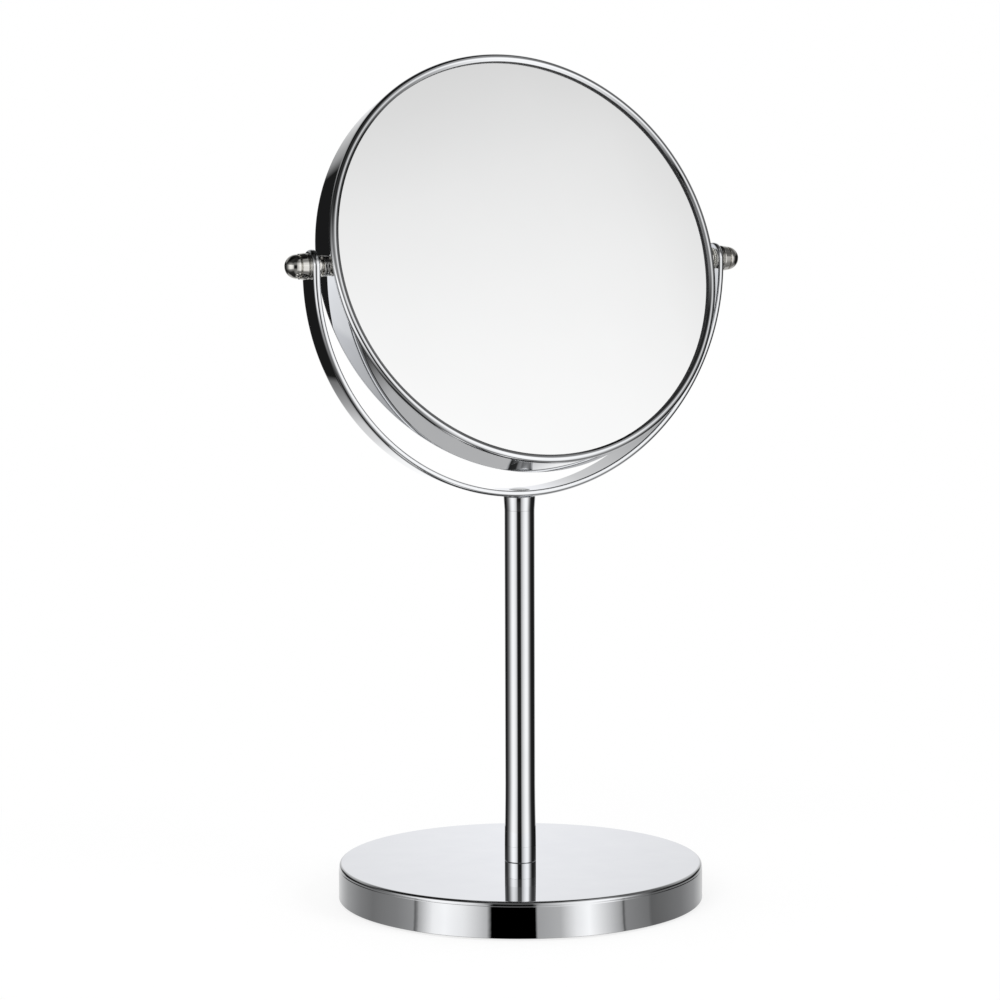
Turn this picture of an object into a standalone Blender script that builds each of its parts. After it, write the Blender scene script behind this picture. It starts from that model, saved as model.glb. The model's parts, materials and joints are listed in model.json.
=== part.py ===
"""Countertop mirror: a double-sided round mirror that tilts in a U-shaped yoke on a weighted stand.

Metres, +Z up. The origin is the centre of the base's underside, the front is -Y, and the
pivot axis runs along X. The head stands at the tilt that it is shown with.
"""
import math

import bmesh
import bpy
from mathutils import Vector

MM = 0.001
CLEAR = 0.3 * MM          # gap between pieces that touch

# Head: a hoop with a flat mirror in front and a magnifying mirror behind
HEAD_RADIUS = 100.3 * MM
HEAD_DEPTH = 21.8 * MM
HEAD_TILT = math.radians(18.4)
HOOP_ADVANCE = 0.8 * MM   # from the pivot axis forward to the hoop's middle
BAND_DEPTH = 16.4 * MM
BAND_WALL = 1.1 * MM
BAND_EDGE_BREAK = 0.2 * MM
RIM_ROUND = 2.2 * MM
LIP_INNER_RADIUS = 96.3 * MM
LIP_THICKNESS = 1.55 * MM
LIP_ROUND = 1.45 * MM
SKIRT_WALL = 0.6 * MM
SKIRT_DEPTH = 3.8 * MM
SEAL_SETBACK = 0.15 * MM
SEAL_THICKNESS = 0.65 * MM
GLASS_RADIUS = 98.0 * MM
GLASS_THICKNESS = 3.0 * MM
GLASS_CHAMFER = 0.3 * MM
MAGNIFIER_CURVATURE = 1000.0 * MM
BACKING_RADIUS = 94.8 * MM
BACKING_THICKNESS = 1.9 * MM
CUSHION_INNER_RADIUS = 84.0 * MM
CUSHION_THICKNESS = 1.1 * MM

# Pivots, measured outwards along the pivot axis
PIVOT_HEIGHT = 305.7 * MM
STUD_RADIUS = 2.5 * MM
STUD_HEAD_RADIUS = 3.6 * MM
STUD_HEAD_HEIGHT = 3.0 * MM
STUD_TIP = 115.6 * MM
STUD_TIP_BREAK = 0.4 * MM
BAND_BORE_REACH = 5.0 * MM
SPACER_RADIUS = 4.9 * MM
SPACER_GROOVE_RADIUS = 3.9 * MM
SPACER_GROOVE_WIDTH = 0.5 * MM
SPACER_FLARE = 0.35 * MM
FRICTION_WASHER_RADIUS = 5.3 * MM
FRICTION_WASHER_THICKNESS = 0.6 * MM
CUP_WASHER_RADIUS = 6.0 * MM
CUP_WASHER_THICKNESS = 0.8 * MM
CUP_WASHER_DISH = 0.5 * MM
CUP_WASHER_RIM = 0.2 * MM
NUT_BODY_RADIUS = 6.3 * MM
NUT_BODY_LENGTH = 3.25 * MM
NUT_BODY_TAPER = 0.4 * MM
NUT_SEAT_CHAMFER = 0.6 * MM
NUT_GROOVE_RADIUS = 5.3 * MM
NUT_GROOVE_WIDTH = 0.5 * MM
NUT_DOME_RADIUS = 5.65 * MM
NUT_TIP = 119.4 * MM
NUT_DRILL_POINT = 0.6 * MM

# Yoke: a flat strip bent to a half ring with two short straight legs
YOKE_RADIUS = 108.2 * MM
YOKE_THICKNESS = 3.1 * MM
YOKE_WIDTH = 15.5 * MM
YOKE_EDGE_ROUND = 1.3 * MM
YOKE_END_ROUND = 8.0 * MM
YOKE_LEG = 2.85 * MM

# Stem, from the base up to the yoke
STEM_RADIUS = 7.25 * MM
STEM_WALL = 1.1 * MM
LOWER_FERRULE_RADIUS = 7.6 * MM
LOWER_FERRULE_HEIGHT = 7.2 * MM
UPPER_FERRULE_RADIUS = 7.65 * MM
UPPER_FERRULE_HEIGHT = 6.2 * MM
SPIGOT_LENGTH = 19.0 * MM
SPIGOT_BORE_DEPTH = 12.0 * MM
FERRULE_CHAMFER = 0.4 * MM
YOKE_SCREW_RADIUS = 2.5 * MM
YOKE_SCREW_HEAD_RADIUS = 5.0 * MM
YOKE_SCREW_HEAD_HEIGHT = 0.8 * MM
YOKE_SCREW_RIM_SHARE = 0.4
YOKE_SCREW_LENGTH = 18.0 * MM

# Base: a pressed dish over an iron ballast plate, closed below by a cover and a foam pad
BASE_RADIUS = 87.7 * MM
BASE_HEIGHT = 17.7 * MM
BASE_EDGE_ROUND = 2.0 * MM
BASE_SHELL_WALL = 1.0 * MM
BASE_SHELL_LIFT = 0.5 * MM
BASE_FOOT_BREAK = 0.3 * MM
BALLAST_RADIUS = 83.0 * MM
BALLAST_THICKNESS = 6.0 * MM
COVER_THICKNESS = 1.6 * MM
COVER_HOLE_RADIUS = 14.0 * MM
COVER_RIB_RADIUS = 79.0 * MM
COVER_RIB_WIDTH = 2.0 * MM
PAD_THICKNESS = 1.5 * MM
PAD_RADIUS = 84.0 * MM
BASE_BOLT_RADIUS = 3.0 * MM
BASE_BOLT_HEAD_FLATS = 10.0 * MM
BASE_BOLT_HEAD_HEIGHT = 4.0 * MM
BASE_WASHER_RADIUS = 9.0 * MM
BASE_WASHER_THICKNESS = 1.2 * MM
LOCK_WASHER_RADIUS = 5.8 * MM
LOCK_WASHER_THICKNESS = 1.6 * MM
LOCK_WASHER_SLIT = 1.2 * MM
LOCK_WASHER_SLANT = math.radians(25.0)

# Facets round a full turn
LARGE_STEPS = 56
YOKE_STEPS = 40
INNER_STEPS = 36
STEM_STEPS = 32
SMALL_STEPS = 18
ARC_STEPS = 3
FINE_ARC_STEPS = 2
DOME_STEPS = 5
YOKE_END_STEPS = 14
MAGNIFIER_RINGS = 4
SHARP_ANGLE = math.radians(32.0)

# Levels that follow from the sizes above
HALF_DEPTH = HEAD_DEPTH / 2
BAND_INNER_RADIUS = HEAD_RADIUS - BAND_WALL
SKIRT_OUTER_RADIUS = BAND_INNER_RADIUS - CLEAR
LIP_UNDERSIDE = HALF_DEPTH - LIP_THICKNESS
SEAL_TOP = LIP_UNDERSIDE - CLEAR
GLASS_FRONT = SEAL_TOP - SEAL_THICKNESS - CLEAR
GLASS_BACK = GLASS_FRONT - GLASS_THICKNESS
MAGNIFIER_SAG = GLASS_RADIUS ** 2 / (2 * MAGNIFIER_CURVATURE)
CUSHION_OUTER_RADIUS = BACKING_RADIUS - CLEAR
BACKING_FRONT = GLASS_BACK - CUSHION_THICKNESS - 2 * CLEAR
BACKING_REAR = BACKING_FRONT - BACKING_THICKNESS
BORE_CLEAR = STUD_RADIUS + CLEAR
YOKE_INNER_RADIUS = YOKE_RADIUS - YOKE_THICKNESS
YOKE_CENTRE = PIVOT_HEIGHT - YOKE_LEG
YOKE_UNDERSIDE = YOKE_CENTRE - YOKE_RADIUS
STEM_BORE = STEM_RADIUS - STEM_WALL
SPIGOT_RADIUS = STEM_BORE - CLEAR
TUBE_FOOT = BASE_HEIGHT + LOWER_FERRULE_HEIGHT + 2 * CLEAR
TUBE_TOP = YOKE_UNDERSIDE - UPPER_FERRULE_HEIGHT - 2 * CLEAR
SHELL_CEILING = BASE_HEIGHT - BASE_SHELL_WALL
BALLAST_UNDERSIDE = SHELL_CEILING - CLEAR - BALLAST_THICKNESS
COVER_UNDERSIDE = PAD_THICKNESS + CLEAR


def clear_scene():
    for obj in list(bpy.data.objects):
        bpy.data.objects.remove(obj, do_unlink=True)


def new_collection(name):
    collection = bpy.data.collections.new(name)
    bpy.context.scene.collection.children.link(collection)
    return collection


def finish(name, colour, roughness, metallic):
    """A plain Principled material."""
    material = bpy.data.materials.new(name)
    material.use_nodes = True
    shader = material.node_tree.nodes["Principled BSDF"]
    shader.inputs["Base Color"].default_value = (*colour, 1.0)
    shader.inputs["Roughness"].default_value = roughness
    shader.inputs["Metallic"].default_value = metallic
    return material


clear_scene()
PARTS = new_collection("countertop_mirror")
CUTTERS = new_collection("cutters")

CHROME = finish("polished_chrome", (0.78, 0.79, 0.81), 0.04, 1.0)
NICKEL = finish("polished_nickel", (0.66, 0.64, 0.60), 0.14, 1.0)
SILVERED = finish("silvered_glass", (0.93, 0.94, 0.94), 0.0, 1.0)
ZINC = finish("zinc_plated_steel", (0.55, 0.56, 0.57), 0.35, 1.0)
IRON = finish("cast_iron", (0.11, 0.11, 0.11), 0.75, 0.6)
NYLON = finish("natural_nylon", (0.80, 0.79, 0.74), 0.45, 0.0)
FOAM = finish("black_foam", (0.02, 0.02, 0.02), 0.95, 0.0)
BOARD = finish("grey_fibreboard", (0.24, 0.22, 0.20), 0.90, 0.0)
PLASTIC = finish("black_plastic", (0.03, 0.03, 0.03), 0.55, 0.0)


def arc(centre_r, centre_z, radius, start_deg, end_deg, steps):
    """Points of a circular arc in a profile, as (r, z)."""
    points = []
    for i in range(steps + 1):
        angle = math.radians(start_deg + (end_deg - start_deg) * i / steps)
        points.append((centre_r + radius * math.cos(angle), centre_z + radius * math.sin(angle)))
    return points


def add_object(name, data, material, parent=None):
    obj = bpy.data.objects.new(name, data)
    PARTS.objects.link(obj)
    obj.data.materials.append(material)
    obj.parent = parent
    return obj


def turned(name, profile, material, steps, parent=None, closed=True):
    """A turned piece: an (r, z) profile that runs down its outer side, swept round local Z."""
    mesh = bpy.data.meshes.new(name)
    count = len(profile)
    edges = [(i, i + 1) for i in range(count - 1)]
    if closed:
        edges.append((count - 1, 0))
    mesh.from_pydata([(r, 0.0, z) for r, z in profile], edges, [])
    obj = add_object(name, mesh, material, parent)
    screw = obj.modifiers.new("turn", "SCREW")
    screw.steps = steps
    screw.render_steps = steps
    screw.use_merge_vertices = True
    screw.merge_threshold = 0.00001
    return obj


def ring(inner, outer, low, high):
    """Profile of a flat ring."""
    return [(inner, high), (outer, high), (outer, low), (inner, low)]


def new_cutter(name, mesh, parent=None):
    """A shape for a boolean, hidden from renders."""
    obj = bpy.data.objects.new(name, mesh)
    CUTTERS.objects.link(obj)
    obj.parent = parent
    obj.hide_render = True
    obj.display_type = "WIRE"
    return obj


def round_cutter(name, radius, start, end, steps, parent=None):
    """A cylinder between two points, for a bore or a saddle."""
    start = Vector(start)
    end = Vector(end)
    along = end - start
    mesh = bpy.data.meshes.new(name)
    work = bmesh.new()
    bmesh.ops.create_cone(work, cap_ends=True, segments=steps, radius1=radius, radius2=radius,
                          depth=along.length)
    work.to_mesh(mesh)
    work.free()
    obj = new_cutter(name, mesh, parent)
    obj.location = (start + end) / 2
    obj.rotation_euler = along.to_track_quat("Z", "Y").to_euler()
    return obj


def shape_with(obj, cutter, operation="DIFFERENCE"):
    modifier = obj.modifiers.new(cutter.name, "BOOLEAN")
    modifier.operation = operation
    modifier.solver = "EXACT"
    modifier.object = cutter


def flat_outline(name, points, half_thickness, edge_round=0.0):
    """A closed 2D outline with thickness both ways, made a welded mesh. Its edges can be rounded."""
    curve = bpy.data.curves.new(name, "CURVE")
    curve.dimensions = "2D"
    curve.fill_mode = "BOTH"
    curve.extrude = half_thickness - edge_round
    curve.bevel_depth = edge_round
    curve.bevel_resolution = 1
    curve.offset = -edge_round
    spline = curve.splines.new("POLY")
    spline.points.add(len(points) - 1)
    for point, (x, y) in zip(spline.points, points):
        point.co = (x, y, 0.0, 1.0)
    spline.use_cyclic_u = True
    source = bpy.data.objects.new(name + "_curve", curve)
    bpy.context.scene.collection.objects.link(source)
    graph = bpy.context.evaluated_depsgraph_get()
    mesh = bpy.data.meshes.new_from_object(source.evaluated_get(graph))
    bpy.data.objects.remove(source)
    bpy.data.curves.remove(curve)
    mesh.materials.clear()
    work = bmesh.new()
    work.from_mesh(mesh)
    bmesh.ops.remove_doubles(work, verts=work.verts, dist=0.00001)
    bmesh.ops.recalc_face_normals(work, faces=work.faces)
    work.to_mesh(mesh)
    work.free()
    return mesh


def settle():
    """Fix every part's modifiers into its mesh and shade it smooth between its sharp edges."""
    bpy.context.view_layer.update()
    graph = bpy.context.evaluated_depsgraph_get()
    meshes = {obj: bpy.data.meshes.new_from_object(obj.evaluated_get(graph)) for obj in PARTS.objects
              if obj.type == "MESH"}
    for obj, mesh in meshes.items():
        obj.modifiers.clear()
        mesh.name = obj.name
        obj.data = mesh
        mesh.shade_smooth()
        mesh.set_sharp_from_angle(angle=SHARP_ANGLE)


def make_head_frames():
    """Two empties: the pivot, whose local Z leaves the front mirror, and on it the hoop's middle."""
    frames = []
    for name in ("head_pivot", "hoop_middle"):
        empty = bpy.data.objects.new(name, None)
        empty.empty_display_size = HEAD_RADIUS
        PARTS.objects.link(empty)
        frames.append(empty)
    pivot, hoop = frames
    pivot.location = (0.0, 0.0, PIVOT_HEIGHT)
    pivot.rotation_euler = (math.radians(90.0) - HEAD_TILT, 0.0, 0.0)
    hoop.parent = pivot
    hoop.location = (0.0, 0.0, HOOP_ADVANCE)
    return pivot, hoop


def magnifier_back(r):
    """Height of the rear mirror's inner face. The glass is slumped, so both faces are dished alike."""
    return -GLASS_BACK + MAGNIFIER_SAG * (1 - (r / GLASS_RADIUS) ** 2)


def make_band(hoop, pivot):
    """The band round the two mirrors, with a bore for each pivot stud on the pivot axis."""
    half = BAND_DEPTH / 2
    edge = BAND_EDGE_BREAK
    profile = [(HEAD_RADIUS - edge, half), (HEAD_RADIUS, half - edge), (HEAD_RADIUS, edge - half),
               (HEAD_RADIUS - edge, -half), (BAND_INNER_RADIUS, -half), (BAND_INNER_RADIUS, half)]
    band = turned("rim_band", profile, CHROME, LARGE_STEPS, hoop)
    inside = HEAD_RADIUS - BAND_BORE_REACH
    outside = HEAD_RADIUS + BAND_BORE_REACH
    for side, sign in (("left", -1), ("right", 1)):
        bore = round_cutter("band_bore_" + side, BORE_CLEAR, (sign * inside, 0, 0), (sign * outside, 0, 0),
                            SMALL_STEPS, pivot)
        shape_with(band, bore)


def make_bezels(hoop):
    """Two pressed caps, rounded over the band's ends, each with a lip over a seal and a skirt in the band."""
    skirt_inner = SKIRT_OUTER_RADIUS - SKIRT_WALL
    seam = BAND_DEPTH / 2 + CLEAR
    foot = LIP_UNDERSIDE - SKIRT_DEPTH
    profile = arc(HEAD_RADIUS - RIM_ROUND, HALF_DEPTH - RIM_ROUND, RIM_ROUND, 90, 0, ARC_STEPS)
    profile += [(HEAD_RADIUS, seam), (SKIRT_OUTER_RADIUS, seam), (SKIRT_OUTER_RADIUS, foot),
                (skirt_inner, foot), (skirt_inner, LIP_UNDERSIDE), (LIP_INNER_RADIUS, LIP_UNDERSIDE)]
    profile += arc(LIP_INNER_RADIUS + LIP_ROUND, HALF_DEPTH - LIP_ROUND, LIP_ROUND, 180, 90, FINE_ARC_STEPS)
    seal_inner = LIP_INNER_RADIUS + SEAL_SETBACK
    seal = ring(seal_inner, GLASS_RADIUS, SEAL_TOP - SEAL_THICKNESS, SEAL_TOP)
    for side, turn in (("front", 0.0), ("rear", math.pi)):
        pieces = [turned(side + "_bezel", profile, CHROME, LARGE_STEPS, hoop),
                  turned(side + "_seal", seal, PLASTIC, LARGE_STEPS, hoop)]
        for piece in pieces:
            piece.rotation_euler.x = turn


def make_mirrors(hoop):
    bevel = GLASS_CHAMFER
    flat = [(0.0, GLASS_FRONT), (GLASS_RADIUS - bevel, GLASS_FRONT), (GLASS_RADIUS, GLASS_FRONT - bevel),
            (GLASS_RADIUS, GLASS_BACK + bevel), (GLASS_RADIUS - bevel, GLASS_BACK), (0.0, GLASS_BACK)]
    turned("front_mirror", flat, SILVERED, INNER_STEPS, hoop, closed=False)

    radii = [GLASS_RADIUS * i / MAGNIFIER_RINGS for i in range(MAGNIFIER_RINGS)] + [GLASS_RADIUS - bevel]
    dished = [(r, magnifier_back(r)) for r in radii]
    dished += [(GLASS_RADIUS, -GLASS_BACK - bevel), (GLASS_RADIUS, -GLASS_FRONT + bevel)]
    dished += [(r, magnifier_back(r) - GLASS_THICKNESS) for r in reversed(radii)]
    turned("rear_mirror", dished, SILVERED, INNER_STEPS, hoop, closed=False)


def make_packing(hoop):
    """The board between the mirrors and the two foam rings that keep them tight against the lips."""
    board = [(0.0, BACKING_FRONT), (BACKING_RADIUS, BACKING_FRONT),
             (BACKING_RADIUS, BACKING_REAR), (0.0, BACKING_REAR)]
    turned("backing_board", board, BOARD, INNER_STEPS, hoop, closed=False)
    front = ring(CUSHION_INNER_RADIUS, CUSHION_OUTER_RADIUS, BACKING_FRONT + CLEAR, GLASS_BACK - CLEAR)
    turned("front_cushion", front, FOAM, INNER_STEPS, hoop)
    rear_top = BACKING_REAR - CLEAR
    rear = [(CUSHION_INNER_RADIUS, rear_top), (CUSHION_OUTER_RADIUS, rear_top),
            (CUSHION_OUTER_RADIUS, magnifier_back(CUSHION_OUTER_RADIUS) + CLEAR),
            (CUSHION_INNER_RADIUS, magnifier_back(CUSHION_INNER_RADIUS) + CLEAR)]
    turned("rear_cushion", rear, FOAM, INNER_STEPS, hoop)


def make_pivot(side, sign, pivot):
    """One pivot's stack, from the stud's head inside the band out to the cap nut."""
    head_seat = BAND_INNER_RADIUS - CLEAR - STUD_HEAD_RADIUS ** 2 / (2 * BAND_INNER_RADIUS)
    head_end = head_seat - STUD_HEAD_HEIGHT
    stud = [(0.0, STUD_TIP), (STUD_RADIUS - STUD_TIP_BREAK, STUD_TIP),
            (STUD_RADIUS, STUD_TIP - STUD_TIP_BREAK), (STUD_RADIUS, head_seat),
            (STUD_HEAD_RADIUS, head_seat), (STUD_HEAD_RADIUS, head_end), (0.0, head_end)]

    washer_top = YOKE_INNER_RADIUS - CLEAR
    washer_low = washer_top - FRICTION_WASHER_THICKNESS
    low = HEAD_RADIUS + CLEAR
    high = washer_low - CLEAR
    middle = (low + high) / 2
    neck = SPACER_GROOVE_WIDTH / 2
    flare = SPACER_FLARE
    spacer = [(BORE_CLEAR, high), (SPACER_RADIUS - flare, high), (SPACER_RADIUS, high - flare),
              (SPACER_RADIUS, middle + neck + flare), (SPACER_GROOVE_RADIUS, middle + neck),
              (SPACER_GROOVE_RADIUS, middle - neck), (SPACER_RADIUS, middle - neck - flare),
              (SPACER_RADIUS, low + flare), (SPACER_RADIUS - flare, low), (BORE_CLEAR, low)]

    cup_low = YOKE_RADIUS + CLEAR
    cup_high = cup_low + CUP_WASHER_THICKNESS
    cup = [(BORE_CLEAR, cup_high), (CUP_WASHER_RADIUS - CUP_WASHER_DISH, cup_high),
           (CUP_WASHER_RADIUS, cup_low + CUP_WASHER_RIM), (CUP_WASHER_RADIUS, cup_low), (BORE_CLEAR, cup_low)]

    seat = cup_high + CLEAR
    shoulder = seat + NUT_BODY_LENGTH
    dome_centre = NUT_TIP - NUT_DOME_RADIUS
    bore_end = STUD_TIP + CLEAR
    groove_top = shoulder + NUT_GROOVE_WIDTH
    nut = arc(0.0, dome_centre, NUT_DOME_RADIUS, 90, 0, DOME_STEPS)
    nut[0] = (0.0, NUT_TIP)
    nut += [(NUT_DOME_RADIUS, groove_top), (NUT_GROOVE_RADIUS, groove_top), (NUT_GROOVE_RADIUS, shoulder),
            (NUT_BODY_RADIUS - NUT_BODY_TAPER, shoulder), (NUT_BODY_RADIUS, seat + NUT_SEAT_CHAMFER),
            (NUT_BODY_RADIUS - NUT_SEAT_CHAMFER, seat), (BORE_CLEAR, seat), (BORE_CLEAR, bore_end),
            (0.0, bore_end + NUT_DRILL_POINT)]

    pieces = [turned("pivot_stud_" + side, stud, ZINC, SMALL_STEPS, pivot, closed=False),
              turned("pivot_spacer_" + side, spacer, NICKEL, SMALL_STEPS, pivot),
              turned("cup_washer_" + side, cup, NICKEL, SMALL_STEPS, pivot),
              turned("cap_nut_" + side, nut, NICKEL, SMALL_STEPS, pivot, closed=False)]
    for piece in pieces:
        piece.rotation_euler.y = sign * math.radians(90.0)

    washer = ring(BORE_CLEAR, FRICTION_WASHER_RADIUS, washer_low, washer_top)
    friction = turned("friction_washer_" + side, washer, NYLON, SMALL_STEPS)
    friction.location.z = PIVOT_HEIGHT
    friction.rotation_euler.y = sign * math.radians(90.0)


def make_yoke():
    """The strip's front outline is drawn in X and height, then its two ends are rounded over the pivots."""
    half_width = YOKE_WIDTH / 2
    leg_top = YOKE_LEG + half_width + YOKE_EDGE_ROUND
    outline = [(YOKE_RADIUS, leg_top)] + arc(0, 0, YOKE_RADIUS, 0, -180, YOKE_STEPS)
    outline += [(-YOKE_RADIUS, leg_top), (-YOKE_INNER_RADIUS, leg_top)]
    outline += arc(0, 0, YOKE_INNER_RADIUS, -180, 0, YOKE_STEPS) + [(YOKE_INNER_RADIUS, leg_top)]
    mesh = flat_outline("yoke", outline, half_width, YOKE_EDGE_ROUND)
    yoke = add_object("yoke", mesh, CHROME)
    yoke.location.z = YOKE_CENTRE
    yoke.rotation_euler.x = math.radians(90.0)

    foot = -YOKE_RADIUS - half_width
    round_centre = YOKE_LEG + half_width - YOKE_END_ROUND
    side_view = [(half_width * 2, foot), (half_width * 2, round_centre)]
    side_view += arc(0, round_centre, YOKE_END_ROUND, 0, 180, YOKE_END_STEPS)
    side_view += [(-half_width * 2, round_centre), (-half_width * 2, foot)]
    ends = new_cutter("yoke_end_rounding", flat_outline("yoke_end_rounding", side_view, NUT_TIP))
    ends.location.z = YOKE_CENTRE
    ends.rotation_euler = (math.radians(90.0), 0.0, math.radians(90.0))
    shape_with(yoke, ends, "INTERSECT")

    shape_with(yoke, round_cutter("yoke_pivot_bore", BORE_CLEAR, (-NUT_TIP, 0, PIVOT_HEIGHT),
                                  (NUT_TIP, 0, PIVOT_HEIGHT), SMALL_STEPS))
    shape_with(yoke, round_cutter("yoke_screw_bore", YOKE_SCREW_RADIUS + CLEAR,
                                  (0, 0, YOKE_UNDERSIDE - half_width), (0, 0, YOKE_UNDERSIDE + half_width),
                                  SMALL_STEPS))


def make_stem():
    screw_bore = YOKE_SCREW_RADIUS + CLEAR
    bolt_bore = BASE_BOLT_RADIUS + CLEAR
    edge = FERRULE_CHAMFER

    foot = BASE_HEIGHT + CLEAR
    shoulder = foot + LOWER_FERRULE_HEIGHT
    spigot_top = shoulder + SPIGOT_LENGTH
    lower = [(0.0, spigot_top), (SPIGOT_RADIUS - edge, spigot_top), (SPIGOT_RADIUS, spigot_top - edge),
             (SPIGOT_RADIUS, shoulder), (LOWER_FERRULE_RADIUS - edge, shoulder),
             (LOWER_FERRULE_RADIUS, shoulder - edge), (LOWER_FERRULE_RADIUS, foot + edge),
             (LOWER_FERRULE_RADIUS - edge, foot), (bolt_bore, foot),
             (bolt_bore, shoulder + SPIGOT_BORE_DEPTH), (0.0, shoulder + SPIGOT_BORE_DEPTH + bolt_bore / 2)]
    turned("lower_ferrule", lower, CHROME, STEM_STEPS, closed=False)

    turned("stem_tube", ring(STEM_BORE, STEM_RADIUS, TUBE_FOOT, TUBE_TOP), CHROME, STEM_STEPS)

    crown = YOKE_UNDERSIDE + 2 * CLEAR
    seat = TUBE_TOP + CLEAR
    spigot_low = seat - SPIGOT_LENGTH
    bore_low = seat - SPIGOT_BORE_DEPTH
    upper = [(0.0, bore_low - screw_bore / 2), (screw_bore, bore_low), (screw_bore, crown),
             (UPPER_FERRULE_RADIUS, crown), (UPPER_FERRULE_RADIUS, seat + edge),
             (UPPER_FERRULE_RADIUS - edge, seat), (SPIGOT_RADIUS, seat), (SPIGOT_RADIUS, spigot_low + edge),
             (SPIGOT_RADIUS - edge, spigot_low), (0.0, spigot_low)]
    ferrule = turned("upper_ferrule", upper, CHROME, STEM_STEPS, closed=False)
    saddle = round_cutter("ferrule_saddle", YOKE_RADIUS + CLEAR, (0, -YOKE_WIDTH, YOKE_CENTRE),
                          (0, YOKE_WIDTH, YOKE_CENTRE), LARGE_STEPS * 2)
    shape_with(ferrule, saddle)


def make_yoke_screw():
    """The low domed screw that draws the yoke down on the stem."""
    sagitta = YOKE_SCREW_HEAD_RADIUS ** 2 / (2 * YOKE_INNER_RADIUS)
    seat = YOKE_CENTRE - YOKE_INNER_RADIUS + sagitta + CLEAR
    crown = seat + YOKE_SCREW_HEAD_HEIGHT
    rim = seat + YOKE_SCREW_HEAD_HEIGHT * YOKE_SCREW_RIM_SHARE
    dome = [(YOKE_SCREW_HEAD_RADIUS * math.sin(a), rim + (crown - rim) * math.cos(a))
            for a in (math.radians(90.0) * i / DOME_STEPS for i in range(DOME_STEPS + 1))]
    tip = seat - YOKE_SCREW_LENGTH
    profile = dome + [(YOKE_SCREW_HEAD_RADIUS, seat), (YOKE_SCREW_RADIUS, seat),
                      (YOKE_SCREW_RADIUS, tip + FERRULE_CHAMFER), (YOKE_SCREW_RADIUS - FERRULE_CHAMFER, tip),
                      (0.0, tip)]
    turned("yoke_screw", profile, CHROME, SMALL_STEPS, closed=False)


def make_base_shell():
    bore = BASE_BOLT_RADIUS + CLEAR
    round_centre = BASE_RADIUS - BASE_EDGE_ROUND
    inner_round = BASE_EDGE_ROUND - BASE_SHELL_WALL
    level = BASE_HEIGHT - BASE_EDGE_ROUND
    inner = BASE_RADIUS - BASE_SHELL_WALL
    profile = [(bore, BASE_HEIGHT)] + arc(round_centre, level, BASE_EDGE_ROUND, 90, 0, ARC_STEPS)
    profile += [(BASE_RADIUS, BASE_SHELL_LIFT + BASE_FOOT_BREAK),
                (BASE_RADIUS - BASE_FOOT_BREAK, BASE_SHELL_LIFT), (inner, BASE_SHELL_LIFT)]
    profile += arc(round_centre, level, inner_round, 0, 90, FINE_ARC_STEPS) + [(bore, SHELL_CEILING)]
    turned("base_shell", profile, CHROME, LARGE_STEPS)


def make_base_filling():
    bore = BASE_BOLT_RADIUS + CLEAR
    ballast = ring(bore, BALLAST_RADIUS, BALLAST_UNDERSIDE, BALLAST_UNDERSIDE + BALLAST_THICKNESS)
    turned("base_ballast", ballast, IRON, INNER_STEPS)

    plate_top = COVER_UNDERSIDE + COVER_THICKNESS
    rib_top = BALLAST_UNDERSIDE - CLEAR
    rib_outer = COVER_RIB_RADIUS + COVER_RIB_WIDTH / 2
    rib_inner = COVER_RIB_RADIUS - COVER_RIB_WIDTH / 2
    edge = BASE_RADIUS - BASE_SHELL_WALL - CLEAR
    cover = [(rib_inner, plate_top), (rib_inner, rib_top), (rib_outer, rib_top), (rib_outer, plate_top),
             (edge, plate_top), (edge, COVER_UNDERSIDE), (COVER_HOLE_RADIUS, COVER_UNDERSIDE),
             (COVER_HOLE_RADIUS, plate_top)]
    turned("base_cover", cover, PLASTIC, INNER_STEPS)

    pad = ring(COVER_HOLE_RADIUS, PAD_RADIUS, 0.0, PAD_THICKNESS)
    turned("base_pad", pad, FOAM, INNER_STEPS)


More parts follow.
